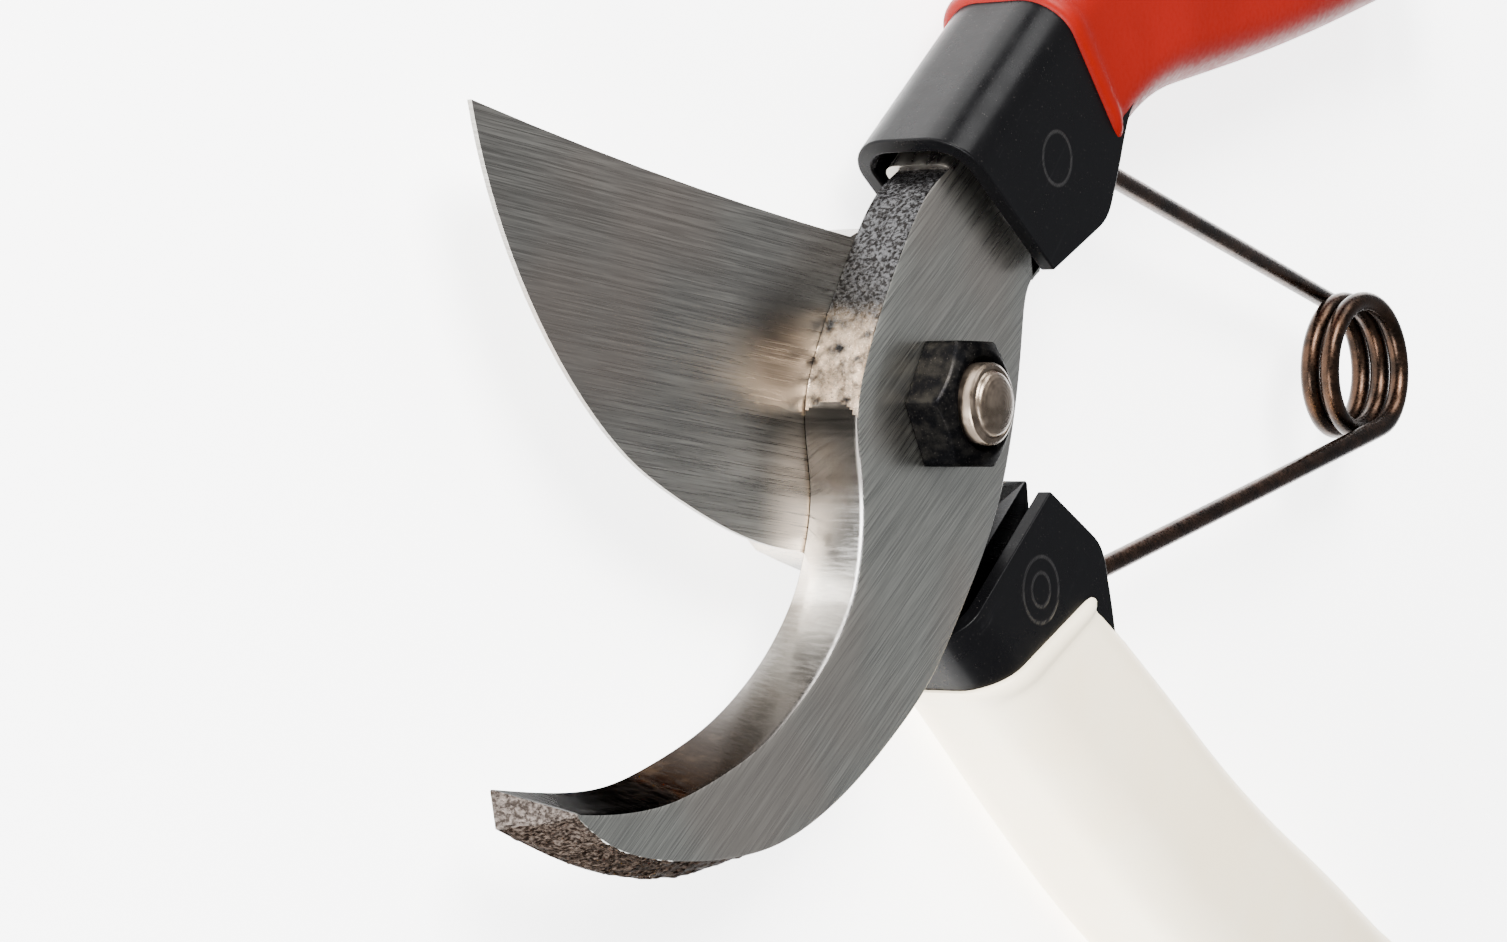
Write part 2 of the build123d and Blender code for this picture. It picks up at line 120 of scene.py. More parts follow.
class Paint:
    """A procedural material, measured in millimetres of the object's own space."""

    def __init__(self, name, color, metallic, roughness, **plain):
        self.material = bpy.data.materials.new(name)
        self.material.use_nodes = True
        self.tree = self.material.node_tree
        self.shader = self.tree.nodes["Principled BSDF"]
        self.shader.inputs["Base Color"].default_value = (*color, 1)
        self.shader.inputs["Metallic"].default_value = metallic
        self.shader.inputs["Roughness"].default_value = roughness
        for key, value in plain.items():
            self.shader.inputs[key.replace("_", " ")].default_value = value
        coords = self.tree.nodes.new("ShaderNodeTexCoord").outputs["Object"]
        self.place = self.vector("SCALE", coords, scale=1 / MM)
        self.normal = None

    def link(self, source, target):
        if isinstance(source, bpy.types.NodeSocket):
            self.tree.links.new(source, target)
        else:
            target.default_value = source

    def vector(self, operation, a, b=None, scale=None):
        made = self.tree.nodes.new("ShaderNodeVectorMath")
        made.operation = operation
        self.link(a, made.inputs[0])
        if b is not None:
            self.link(b, made.inputs[1])
        if scale is not None:
            self.link(scale, made.inputs["Scale"])
        return made.outputs["Value" if operation in ("LENGTH", "DOT_PRODUCT") else "Vector"]

    def math(self, operation, a, b=0.0, clamp=False):
        made = self.tree.nodes.new("ShaderNodeMath")
        made.operation = operation
        made.use_clamp = clamp
        self.link(a, made.inputs[0])
        self.link(b, made.inputs[1])
        return made.outputs[0]

    def flat(self):
        """Coordinates without their height."""
        return self.vector("MULTIPLY", self.place, (1.0, 1.0, 0.0))

    def turned(self, degrees, stretch):
        """Coordinates turned about Z, then squeezed by stretch, for grain that runs one way."""
        turn = self.tree.nodes.new("ShaderNodeMapping")
        turn.inputs["Rotation"].default_value = (0, 0, -math.radians(degrees))
        self.tree.links.new(self.place, turn.inputs["Vector"])
        return self.vector("MULTIPLY", turn.outputs["Vector"], stretch)

    def noise(self, place, scale, detail=3.0, rough=0.55, distortion=0.0):
        made = self.tree.nodes.new("ShaderNodeTexNoise")
        made.inputs["Scale"].default_value = scale
        made.inputs["Detail"].default_value = detail
        made.inputs["Roughness"].default_value = rough
        made.inputs["Distortion"].default_value = distortion
        self.tree.links.new(place, made.inputs["Vector"])
        return made.outputs["Fac"]

    def span(self, value, low, high, to_low=0.0, to_high=1.0, smooth=True):
        made = self.tree.nodes.new("ShaderNodeMapRange")
        made.interpolation_type = "SMOOTHSTEP" if smooth else "LINEAR"
        for key, number in zip(("From Min", "From Max", "To Min", "To Max"), (low, high, to_low, to_high)):
            made.inputs[key].default_value = number
        self.tree.links.new(value, made.inputs["Value"])
        return made.outputs["Result"]

    def mix(self, amount, a, b):
        made = self.tree.nodes.new("ShaderNodeMix")
        made.data_type = "RGBA"
        self.link(amount, made.inputs["Factor"])
        for source, target in ((a, made.inputs[MIX_FROM]), (b, made.inputs[MIX_TO])):
            self.link((*source, 1) if isinstance(source, tuple) else source, target)
        return made.outputs[MIX_RESULT]

    def bump(self, height, distance, strength=1.0):
        """Adds relief of the given depth in millimetres."""
        made = self.tree.nodes.new("ShaderNodeBump")
        made.inputs["Strength"].default_value = strength
        made.inputs["Distance"].default_value = distance * MM
        self.tree.links.new(height, made.inputs["Height"])
        if self.normal:
            self.tree.links.new(self.normal, made.inputs["Normal"])
        self.normal = made.outputs["Normal"]

    def axis(self, letter):
        made = self.tree.nodes.new("ShaderNodeSeparateXYZ")
        self.tree.links.new(self.place, made.inputs[0])
        return made.outputs[letter]

    def done(self, color=None, roughness=None):
        if color is not None:
            self.tree.links.new(color, self.shader.inputs["Base Color"])
        if roughness is not None:
            self.tree.links.new(roughness, self.shader.inputs["Roughness"])
        if self.normal:
            self.tree.links.new(self.normal, self.shader.inputs["Normal"])
        return self.material


# A painted spot: its middle, how much it is squeezed each way, and its colour. The first is a painted
# reflection, bright and warm, on the blade's heel by the hook. The second is painted shade on the blade beside
# the hook's spine.
HEEL_REFLECTION = ((-15.0, -11.0, 9.0), (0.13, 0.085, 0.1), (0.97, 0.83, 0.68))
SHADE = ((-18.5, 4.5, 9.0), (0.1, 0.1, 0.1), (0.035, 0.031, 0.028))
DARK_TANG = (5.0, 8.0)
TANG_COLOR = (0.004, 0.004, 0.0045)


def brushed(name, light, dark, warm, grain, rough, painted_spots=(), tang=None):
    """Ground steel: fine lines along the grain, painted spots of reflection and shade, and perhaps a dark
    tang.
    """
    p = Paint(name, light, 1.0, rough)
    fine = p.noise(p.turned(grain, (0.1, 7.5, 1.0)), 1.0, 4.0, 0.7)
    broad = p.noise(p.turned(grain + 3, (0.04, 1.1, 0.3)), 1.0, 3.0)
    patch = p.noise(p.place, 0.045, 2.0)
    color = p.mix(p.span(fine, 0.36, 0.66), dark, light)
    color = p.mix(p.span(broad, 0.4, 0.75, 0.0, 0.35), color, dark)
    color = p.mix(p.span(patch, 0.42, 0.68, 0.0, 0.55), color, warm)
    # Each spot paints a reflection or a shade into the colour, broken up by the grain.
    for middle, stretch, shine in painted_spots:
        away = p.vector("LENGTH", p.vector("MULTIPLY", p.vector("SUBTRACT", p.place, middle), stretch))
        wear_and_painted_light = p.math("MULTIPLY", p.span(away, 0.1, 1.0, 1.0, 0.0), p.span(fine, 0.25, 0.6, 0.6, 1.0))
        color = p.mix(wear_and_painted_light, color, shine)
    if tang:
        color = p.mix(p.span(p.axis("X"), *tang), color, TANG_COLOR)
    p.bump(fine, 0.012, 0.5)
    return p.done(color, p.span(fine, 0.3, 0.7, rough - 0.05, rough + 0.1))


# Keeps the edges of dark metal from shining white at a glancing angle.
DIM_EDGE = (0.12, 0.12, 0.12, 1)

# Stretches of the hook's inner face along Y, in millimetres, where a painted reflection brightens the strip
# and painted shade darkens it towards the toe: each sets in and fades over a span.
PAINTED_SHEEN_FROM, PAINTED_SHEEN_TO = (-20.0, -17.5), (-11.0, -7.0)
BAND_FROM, BAND_TO = (-28.0, -22.0), (-9.0, -8.0)
TOE_SHADE = (-31.0, -25.0)


def ground_strip():
    """The counter blade's inner face: ground across its width, with a painted reflection bright along its
    middle stretch and painted shade towards the toe.
    """
    p = Paint("ground_strip", (0.62, 0.61, 0.6), 1.0, 0.16, Specular_Tint=DIM_EDGE)
    lines = p.noise(p.vector("MULTIPLY", p.place, (2.6, 2.6, 0.05)), 1.0, 3.0, 0.65)
    soil = p.noise(p.place, 0.35, 4.0)
    along = p.axis("Y")
    # Painted reflection: bright along the strip's middle stretch, and faintly over a longer band.
    wear_and_painted_light = p.math("MULTIPLY", p.span(along, *PAINTED_SHEEN_FROM), p.span(along, *PAINTED_SHEEN_TO, 1.0, 0.0))
    faint_painted_sheen = p.math("MULTIPLY", p.span(along, *BAND_FROM, 0.0, 0.3), p.span(along, *BAND_TO, 1.0, 0.0))
    shine = p.math("MAXIMUM", wear_and_painted_light, faint_painted_sheen)
    # Painted shade: the strip's colour darkens towards the toe.
    dark = p.mix(p.span(along, *TOE_SHADE), (0.065, 0.06, 0.057), (0.16, 0.148, 0.137))
    color = p.mix(shine, dark, (0.97, 0.95, 0.92))
    color = p.mix(p.span(soil, 0.5, 0.72, 0.0, 0.4), color, (0.12, 0.1, 0.085))
    p.bump(lines, 0.006, 0.4)
    return p.done(color, p.span(lines, 0.3, 0.7, 0.1, 0.24))


COPPER = (1.0, 0.77, 0.57)


def forged(name, light, dark, copper_from, copper_to):
    """Scale left by forging: pitted, with glints, and coppery towards one end."""
    p = Paint(name, light, 1.0, 0.34, Specular_Tint=DIM_EDGE)
    pits = p.noise(p.place, 2.6, 5.0, 0.6)
    grit = p.noise(p.place, 4.2, 3.0, 0.6)
    warmth = p.span(p.axis("Y"), copper_from, copper_to)
    patchy = p.math("MULTIPLY", warmth, p.span(p.noise(p.place, 0.5, 3.0), 0.3, 0.62))
    color = p.mix(p.span(pits, 0.4, 0.62), dark, light)
    color = p.mix(patchy, color, COPPER)
    p.bump(pits, 0.16, 0.8)
    p.bump(grit, 0.05, 0.6)
    return p.done(color, p.span(grit, 0.3, 0.7, 0.24, 0.46))


# Plain rings marked on the channels: x, y and radius in millimetres.
STAMPS = ((15.53, 24.37, 2.65), (17.98, -18.21, 3.3), (17.98, -18.21, 1.7))


def lacquer():
    """Black lacquered pressing with dust specks and handling marks."""
    p = Paint(
        "black_lacquer", (0.018, 0.018, 0.021), 0.0, 0.3,
        Coat_Weight=0.02, Coat_Roughness=0.16, Specular_IOR_Level=0.06,
    )
    cloud = p.noise(p.place, 0.3, 4.0)
    specks = p.noise(p.place, 5.0, 2.0, 0.5)
    marks = p.noise(p.turned(48, (0.06, 3.0, 1.0)), 1.0, 4.0, 0.7)
    wear_and_painted_light = p.math("MULTIPLY", p.span(marks, 0.6, 0.74), p.span(cloud, 0.45, 0.65))
    color = p.mix(p.span(specks, 0.68, 0.76, 0.0, 0.6), (0.002, 0.002, 0.0023), (0.05, 0.045, 0.042))
    color = p.mix(p.math("MULTIPLY", wear_and_painted_light, 0.3), color, (0.03, 0.03, 0.032))
    for x, y, radius in STAMPS:
        away = p.vector("SUBTRACT", p.flat(), (x, y, 0.0))
        off = p.math("ABSOLUTE", p.math("SUBTRACT", p.vector("LENGTH", away), radius))
        ring = p.math("MULTIPLY", p.span(off, 0.06, 0.28, 1.0, 0.0), p.span(marks, 0.35, 0.6, 0.4, 1.0))
        color = p.mix(p.math("MULTIPLY", ring, 0.45), color, (0.03, 0.029, 0.029))
        p.bump(ring, 0.1, 0.6)
    p.bump(cloud, 0.05, 0.5)
    p.bump(specks, 0.02, 0.3)
    return p.done(color, p.span(cloud, 0.3, 0.75, 0.26, 0.36))


def oxide():
    """Blackened steel: dark, slightly cloudy, with a few worn specks."""
    p = Paint("black_oxide", (0.05, 0.05, 0.052), 0.85, 0.36, Specular_Tint=DIM_EDGE, Specular_IOR_Level=0.06)
    cloud = p.noise(p.place, 0.7, 4.0)
    grit = p.noise(p.place, 5.0, 3.0)
    color = p.mix(p.span(cloud, 0.4, 0.7), (0.004, 0.004, 0.0045), (0.014, 0.013, 0.012))
    color = p.mix(p.span(grit, 0.64, 0.74, 0.0, 0.5), color, (0.09, 0.08, 0.07))
    p.bump(cloud, 0.03, 0.6)
    p.bump(grit, 0.015, 0.5)
    return p.done(color, p.span(grit, 0.3, 0.7, 0.28, 0.46))


RINGS_PER_MM = 16.0


def turned_steel():
    """The bolt: faint rings from turning round its own axis."""
    p = Paint("turned_bolt", (0.3, 0.26, 0.22), 1.0, 0.3)
    rings = p.math("SINE", p.math("MULTIPLY", p.vector("LENGTH", p.flat()), RINGS_PER_MM))
    cloud = p.noise(p.place, 0.5, 2.0)
    color = p.mix(p.span(cloud, 0.3, 0.75), (0.15, 0.115, 0.085), (0.25, 0.2, 0.155))
    p.bump(rings, 0.012, 0.4)
    return p.done(color, p.span(cloud, 0.3, 0.7, 0.24, 0.4))


def spring_wire():
    """Drawn wire, tempered brown."""
    p = Paint("spring_wire", (0.17, 0.11, 0.08), 1.0, 0.28)
    cloud = p.noise(p.place, 0.35, 4.0)
    grit = p.noise(p.place, 3.0, 3.0)
    color = p.mix(p.span(cloud, 0.35, 0.65), (0.018, 0.012, 0.009), (0.05, 0.028, 0.018))
    color = p.mix(p.span(grit, 0.6, 0.78, 0.0, 0.35), color, (0.1, 0.06, 0.045))
    p.bump(grit, 0.02, 0.4)
    return p.done(color, p.span(grit, 0.3, 0.7, 0.22, 0.38))


def vinyl(name, face, bright, dull, rough, shine):
    """Dipped vinyl: a soft gloss over a slightly uneven skin."""
    p = Paint(name, face, 0.0, rough, Specular_IOR_Level=shine)
    cloud = p.noise(p.place, 0.06, 3.0)
    skin = p.noise(p.place, 1.6, 3.0, 0.5)
    dust = p.noise(p.place, 6.0, 2.0)
    color = p.mix(p.span(cloud, 0.35, 0.68), face, bright)
    color = p.mix(p.span(skin, 0.55, 0.8, 0.0, 0.25), color, dull)
    p.bump(cloud, 0.3, 0.3)
    p.bump(skin, 0.012, 0.5)
    p.bump(dust, 0.006, 0.3)
    return p.done(color, p.span(skin, 0.3, 0.7, rough - 0.06, rough + 0.08))


def bright_wire():
    """Plated wire and tube of the latch."""
    p = Paint("bright_wire", (0.55, 0.55, 0.56), 1.0, 0.24)
    cloud = p.noise(p.place, 0.8, 3.0)
    p.bump(p.noise(p.place, 4.0, 2.0), 0.008, 0.4)
    color = p.mix(p.span(cloud, 0.35, 0.7), (0.46, 0.46, 0.47), (0.62, 0.61, 0.6))
    return p.done(color, p.span(cloud, 0.3, 0.7, 0.18, 0.32))


FLOOR_GLOW = 4.0


def floor_paint():
    """A plain white sweep that glows, so that it stays pale behind the part."""
    p = Paint("floor", (0.93, 0.93, 0.93), 0.0, 0.9)
    p.shader.inputs["Emission Color"].default_value = (1, 1, 1, 1)
    p.shader.inputs["Emission Strength"].default_value = FLOOR_GLOW
    return p.done()


# The cutting blade carries the painted shade spot, the painted reflection spot at its heel, and a dark tang.
STEEL_CUT = brushed(
    "cutting_face", (0.34, 0.33, 0.3), (0.2, 0.19, 0.172), (0.3, 0.25, 0.215), -6, 0.3,
    (SHADE, HEEL_REFLECTION), DARK_TANG,
)
STEEL_HOOK = brushed("counter_face", (0.45, 0.45, 0.41), (0.28, 0.28, 0.255), (0.38, 0.33, 0.29), 38, 0.3)
STRIP = ground_strip()
FORGED = forged("forged_spine", (0.075, 0.075, 0.077), (0.016, 0.015, 0.0145), 10.0, 3.0)
TOE = forged("forged_toe", (0.11, 0.092, 0.08), (0.025, 0.02, 0.017), -60.0, -61.0)
LACQUER = lacquer()
OXIDE = oxide()
BOLT = turned_steel()
WIRE = spring_wire()
RED = vinyl("red_vinyl", (0.15, 0.003, 0.0008), (0.175, 0.0035, 0.001), (0.13, 0.0025, 0.0007), 0.42, 0.1)
WHITE = vinyl("white_vinyl", (0.97, 0.83, 0.6), (0.98, 0.87, 0.66), (0.93, 0.78, 0.54), 0.36, 0.3)
BRIGHT = bright_wire()


def dress(name, material):
    """Gives a CAD node its material."""
    mesh = nodes[name].data
    mesh.materials.clear()
    mesh.materials.append(material)


# ------------------------------------------------------------------ mesh making
def place_mesh(name, verts, faces, body, slot, materials, picks=None):
    """A new smooth piece from vertices in millimetres."""
    mesh = bpy.data.meshes.new(name)
    mesh.from_pydata([tuple(c * MM for c in v) for v in verts], [], faces)
    for material in materials:
        mesh.materials.append(material)
    if picks is not None:
        mesh.polygons.foreach_set("material_index", picks)
    mesh.polygons.foreach_set("use_smooth", [True] * len(mesh.polygons))
    mesh.validate()
    mesh.update()
    return add_piece(name, mesh, body)


def add_piece(name, mesh, body):
    """Puts a mesh in the scene, on its body."""
    piece = bpy.data.objects.new(name, mesh)
    bpy.context.collection.objects.link(piece)
    if body:
        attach(piece, body)
    return piece


def travelled(points):
    """The distance along a run of points, at each of them."""
    return np.concatenate([[0], np.cumsum(np.sqrt(((points[1:] - points[:-1]) ** 2).sum(1)))])


class Cubic:
    """The natural cubic through rows of numbers at rising places."""

    def __init__(self, places, rows):
        self.x, self.y = np.array(places, float), np.array(rows, float)
        n, h = len(self.x), np.diff(self.x)
        system, right = np.eye(n), np.zeros_like(self.y)
        for i in range(1, n - 1):
            system[i, i - 1:i + 2] = h[i - 1], 2 * (h[i - 1] + h[i]), h[i]
            right[i] = 6 * ((self.y[i + 1] - self.y[i]) / h[i] - (self.y[i] - self.y[i - 1]) / h[i - 1])
        self.bend = np.linalg.solve(system, right)

    def at(self, place):
        u = min(max(place, self.x[0]), self.x[-1])
        i = min(int(np.searchsorted(self.x, u, side="right")) - 1, len(self.x) - 2)
        h, a, b = self.x[i + 1] - self.x[i], self.x[i + 1] - u, u - self.x[i]
        return (
            self.bend[i] * a ** 3 / (6 * h) + self.bend[i + 1] * b ** 3 / (6 * h)
            + (self.y[i] / h - self.bend[i] * h / 6) * a + (self.y[i + 1] / h - self.bend[i + 1] * h / 6) * b
        )


def smooth_through(points, count):
    """Evenly spaced points on the natural cubic through control rows of any width."""
    rows = np.array(points, float)
    knots = travelled(rows)
    curve = Cubic(knots, rows)
    return np.array([curve.at(place) for place in np.linspace(0, knots[-1], count)])


def quadratic(start, corner, end, t):
    """A point on the curve that leaves towards the corner and arrives from it."""
    return (1 - t) ** 2 * start + 2 * t * (1 - t) * corner + t ** 2 * end


def circle(sides):
    """The angles of a closed ring."""
    return [2 * math.pi * k / sides for k in range(sides)]


def unit(vector):
    """A vector's direction and length."""
    length = max(np.linalg.norm(vector), 1e-6)
    return vector / length, length


def skin(rings, closed=True):
    """Quads between rings that have the same number of points."""
    count = len(rings[0])
    across = count if closed else count - 1
    faces = []
    for r in range(len(rings) - 1):
        for c in range(across):
            d = (c + 1) % count
            faces.append((r * count + c, r * count + d, (r + 1) * count + d, (r + 1) * count + c))
    return [tuple(p) for ring in rings for p in ring], faces


def capped(rings):
    """The same, with the first and the last ring filled."""
    verts, faces = skin(rings)
    count = len(rings[0])
    faces.append(tuple(range(count))[::-1])
    faces.append(tuple(range(len(verts) - count, len(verts))))
    return verts, faces


def round_edges(piece, width, sharper_than):
    """Rounds the edges that turn by more than this many degrees, over a width in millimetres."""
    bevel = piece.modifiers.new("edges", "BEVEL")
    bevel.limit_method = "ANGLE"
    bevel.angle_limit = math.radians(sharper_than)
    bevel.width = width * MM
    bevel.segments = 3
    bevel.harden_normals = True


def keep_normals(piece, degrees):
    """Smooth shading that stays crisp over edges sharper than this."""
    work = bmesh.new()
    work.from_mesh(piece.data)
    for edge in work.edges:
        if len(edge.link_faces) == 2 and edge.calc_face_angle(0) > math.radians(degrees):
            edge.smooth = False
    work.to_mesh(piece.data)
    work.free()


# Points closer than this, in metres, are one; faces flatter than this, in degrees, are one;
# and edges that turn by more than this are rounded.
SAME_POINT, SAME_FACE, SHARP = 1e-6, 0.6, 28


def eased(name, node, body, material, width, cut=None):
    """A CAD node's own shape, or what lies past a cut, with its sharp edges rounded as on the real one."""
    work = bmesh.new()
    work.from_mesh(nodes[node].data)
    bmesh.ops.remove_doubles(work, verts=work.verts, dist=SAME_POINT)
    if cut:
        place, direction = cut
        bmesh.ops.bisect_plane(
            work, geom=[*work.verts, *work.edges, *work.faces], plane_co=[c * MM for c in place],
            plane_no=direction, clear_inner=True,
        )
        bmesh.ops.holes_fill(work, edges=[e for e in work.edges if e.is_boundary], sides=0)
    bmesh.ops.dissolve_limit(work, angle_limit=math.radians(SAME_FACE), verts=work.verts, edges=work.edges)
    for face in work.faces:
        face.smooth = True
        face.material_index = 0
    mesh = bpy.data.meshes.new(name)
    work.to_mesh(mesh)
    work.free()
    mesh.materials.append(material)
    piece = add_piece(name, mesh, body)
    round_edges(piece, width, SHARP)
    return piece


# ------------------------------------------------------------------ counter blade
# Stations from the toe to the handle: the rear face's inner and outer edge, then the front face's.
HOOK = (
    ((-61.6, -33.6), (-60.8, -37.2), (-57.4, -35.7), (-57.2, -36.1)),
    ((-54.5, -34.3), (-52.5, -40.3), (-52.6, -36.0), (-52.0, -39.0)),
    ((-46.8, -34.4), (-43.5, -42.5), (-45.9, -35.8), (-43.3, -40.8)),
    ((-39.5, -32.9), (-33.5, -42.8), (-39.0, -34.4), (-33.3, -41.1)),
    ((-31.9, -30.3), (-24.9, -40.4), (-31.2, -31.7), (-25.0, -39.8)),
    ((-25.7, -27.0), (-16.2, -36.4), (-24.8, -28.1), (-16.3, -36.2)),
    ((-20.5, -22.9), (-8.5, -31.4), (-19.3, -23.6), (-8.5, -31.4)),
    ((-16.6, -18.2), (-2.0, -26.2), (-15.6, -18.9), (-2.0, -26.2)),
    ((-14.7, -13.9), (3.4, -19.7), (-14.0, -14.3), (3.4, -19.7)),
    ((-13.75, -8.0), (8.6, -12.2), (-13.8, -8.3), (8.6, -12.2)),
    ((-14.6, -0.5), (12.2, -3.6), (-14.6, -0.5), (12.2, -3.6)),
    ((-12.9, 4.6), (13.6, 2.2), (-12.9, 4.6), (13.6, 2.2)),
    ((-10.0, 10.0), (14.4, 7.3), (-10.0, 10.0), (14.4, 7.3)),
    ((-6.2, 15.9), (15.4, 11.6), (-6.2, 15.9), (15.4, 11.6)),
    ((-2.2, 20.6), (17.3, 13.5), (-2.2, 20.6), (17.3, 13.5)),
    ((1.4, 22.9), (18.4, 14.3), (1.4, 22.9), (18.4, 14.3)),
)
HOOK_RINGS = 380
# Steps up each wall and across each face of a section.
WALL = 16
FACE = 10
# The spine's ground land above the blades' plane, and how much the front and rear edges are eased.
HOOK_LAND = 1.2
FRONT_EASE = 0.28
REAR_EASE = 0.15
# The forged skin's depth and grain, on the inner wall past the ground strip, on the spine, and
# deeper by a little at the toe. It sets in over some rings. The strip ends in a shallow arc.
WAIST_Y = -0.6
WAIST_DEPTH, WAIST_GRAIN, WAIST_RINGS = 0.16, 1.7, 8
WAIST_ARC, WAIST_LEAD = 5.0, 3
SPINE_DEPTH, SPINE_GRAIN, SPINE_SET_BACK = 0.12, 1.5, 0.6
TOE_DEPTH, TOE_SHARE, TOE_RINGS = 0.1, 0.33, 30


def rough(point, size, depth):
    """Height of a forged skin at a point, in millimetres."""
    p = Vector(point) / size
    broad = noise.fractal(p, 0.7, 2.1, 4, noise_basis="PERLIN_ORIGINAL")
    return depth * (broad - 0.25 * noise.noise(p * 3.1))


def hook_section(rear_in, rear_out, front_in, front_out):
    """Once round the hook: up the inner wall, over the front face, down the spine, and back."""
    over, width = unit(rear_out - rear_in)
    front, front_width = unit(front_out - front_in)
    ease = min(FRONT_EASE, front_width / 3)
    low, high = SHEAR_Z + REAR_EASE, NUT_Z - ease
    land = SHEAR_Z + HOOK_LAND
    walls = [k / WALL for k in range(1, WALL)]
    steps = [k / FACE for k in range(1, FACE)]
    section = [(*(rear_in + over * REAR_EASE), SHEAR_Z), (*rear_in, low)]
    section += [(*(rear_in + (front_in - rear_in) * f), low + (high - low) * f) for f in walls]
    section += [
        (*front_in, high),
        (*(front_in + front * ease * 0.3), NUT_Z - ease * 0.3),
        (*(front_in + front * ease), NUT_Z),
    ]
    section += [(*(front_in + front * (ease + (front_width - 2 * ease) * f)), NUT_Z) for f in steps]
    section += [
        (*(front_out - front * ease), NUT_Z),
        (*(front_out - front * ease * 0.3), NUT_Z - ease * 0.3),
        (*front_out, high),
    ]
    section += [(*(front_out + (rear_out - front_out) * f), high - (high - land) * f) for f in walls]
    section += [(*rear_out, land), (*rear_out, low), (*(rear_out - over * REAR_EASE), SHEAR_Z)]
    section += [(*(rear_out - over * (REAR_EASE + (width - 2 * REAR_EASE) * f)), SHEAR_Z) for f in steps]
    return [np.array(p) for p in section]


def counter_blade():
    """The forged hook, with a roughened spine, toe and waist, and a ground inner strip."""
    rings = smooth_through([[c for pair in row for c in pair] for row in HOOK], HOOK_RINGS)
    sections = [hook_section(*(row[k:k + 2] for k in (0, 2, 4, 6))) for row in rings]
    waist = next(i for i, row in enumerate(rings) if row[5] > WAIST_Y)
    toe_end = int(HOOK_RINGS * TOE_SHARE)
    last_inner = WALL + 1
    first_outer, last_outer = WALL + FACE + 5, 2 * WALL + FACE + 6
    for i, section in enumerate(sections):
        spine = min(1.0, max(0.0, (i - waist) / WAIST_RINGS))
        toe = min(1.0, max(0.0, (toe_end - i) / TOE_RINGS))
        inward, _ = unit(section[first_outer - 1] - section[WALL + 4])
        if spine:
            for c in range(1, last_inner + 1):
                depth = WAIST_DEPTH + rough(section[c], WAIST_GRAIN, WAIST_DEPTH)
                section[c] = section[c] + inward * depth * spine
        for c in range(first_outer, last_outer + 1):
            depth = SPINE_DEPTH + TOE_DEPTH * toe
            relief = depth * SPINE_SET_BACK + rough(section[c], SPINE_GRAIN, depth)
            section[c] = section[c] - inward * relief
    verts, faces = capped(sections)
    face_steel, strip, waist_skin, spine_skin = range(4)
    picks = []
    for r in range(len(sections) - 1):
        for c in range(len(sections[0])):
            if c <= last_inner:
                arc = WAIST_ARC * (1 - ((c - WALL / 2) / (WALL / 2)) ** 2)
                picks.append(waist_skin if r >= waist + arc - WAIST_LEAD else strip)
            elif first_outer <= c <= last_outer + 1:
                picks.append(spine_skin)
            else:
                picks.append(face_steel)
    picks += [spine_skin, face_steel]
    materials = [STEEL_HOOK, STRIP, FORGED, TOE]
    hook = place_mesh("counter_blade_hook", verts, faces, COUNTER, "counter_steel", materials, picks)
    keep_normals(hook, 32)
    return hook


hook = counter_blade()
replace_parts(hook, "counter_blade")
# The tang is the CAD's own, from where the hook's last section ends.
HOOK_END, HOOK_END_LINE = (1.5, 22.6, 12), Vector((14.7, -10.2, 0)).normalized()
past_hook = Vector((-HOOK_END_LINE.y, HOOK_END_LINE.x, 0))
eased(
    "counter_blade_tang", "counter_blade", COUNTER, STEEL_HOOK, 0.2,
    cut=(HOOK_END, past_hook),
)


# ------------------------------------------------------------------ handles
class Handle:
    """The line that a handle follows in plan: straight runs joined by arcs."""

    def __init__(self, start, headings, runs, bends, rear, inward):
        self.rear, self.inward = rear, inward
        self.parts = []
        place, used = np.array(start, float), 0.0
        for i, run in enumerate(runs):
            turn = math.radians(headings[i + 1] - headings[i]) if i + 1 < len(runs) else 0.0
            trim = bends[i] * math.tan(abs(turn) / 2) if turn else 0.0
            angle = math.radians(headings[i])
            ahead = np.array((math.cos(angle), math.sin(angle)))
            self.parts.append((run - used - trim, place.copy(), angle, 0.0))
            place = place + ahead * (run - used - trim)
            if turn:
                self.parts.append((bends[i] * abs(turn), place.copy(), angle, math.copysign(bends[i], turn)))
                radius = math.copysign(bends[i], turn)
                centre = place + radius * np.array((-math.sin(angle), math.cos(angle)))
                after = angle + turn
                place = centre - radius * np.array((-math.sin(after), math.cos(after)))
            used = trim

    def point(self, distance, across, height):
        """The place this far along the line, across it towards the other handle, and up."""
        rest, part = distance, 0
        while part < len(self.parts) - 1 and rest > self.parts[part][0]:
            rest -= self.parts[part][0]
            part += 1
        _, place, angle, radius = self.parts[part]
        if radius:
            centre = place + radius * np.array((-math.sin(angle), math.cos(angle)))
            angle += rest / radius
            place = centre - radius * np.array((-math.sin(angle), math.cos(angle)))
        else:
            place = place + rest * np.array((math.cos(angle), math.sin(angle)))
        side = self.inward * across
        return (place[0] - side * math.sin(angle), place[1] + side * math.cos(angle), height)


RED_LINE = Handle((4.85, 17.6), (41.0, 15.6, 7.0), (34.0, 66.0, 26.0), (52.0, 110.0), 6.4, -1)
WHITE_LINE = Handle((8.4, -13.9), (-38.0, -26.7, -18.0), (57.0, 41.0, 27.0), (140.0, 110.0), 3.0, 1)

# The pressed channels: back, free edge, bend's outside radius, sheet and height.
BACK, WALL_EDGE, BEND, SHEET, CHANNEL = 8.5, 6.6, 3.1, 1.6, 11.0
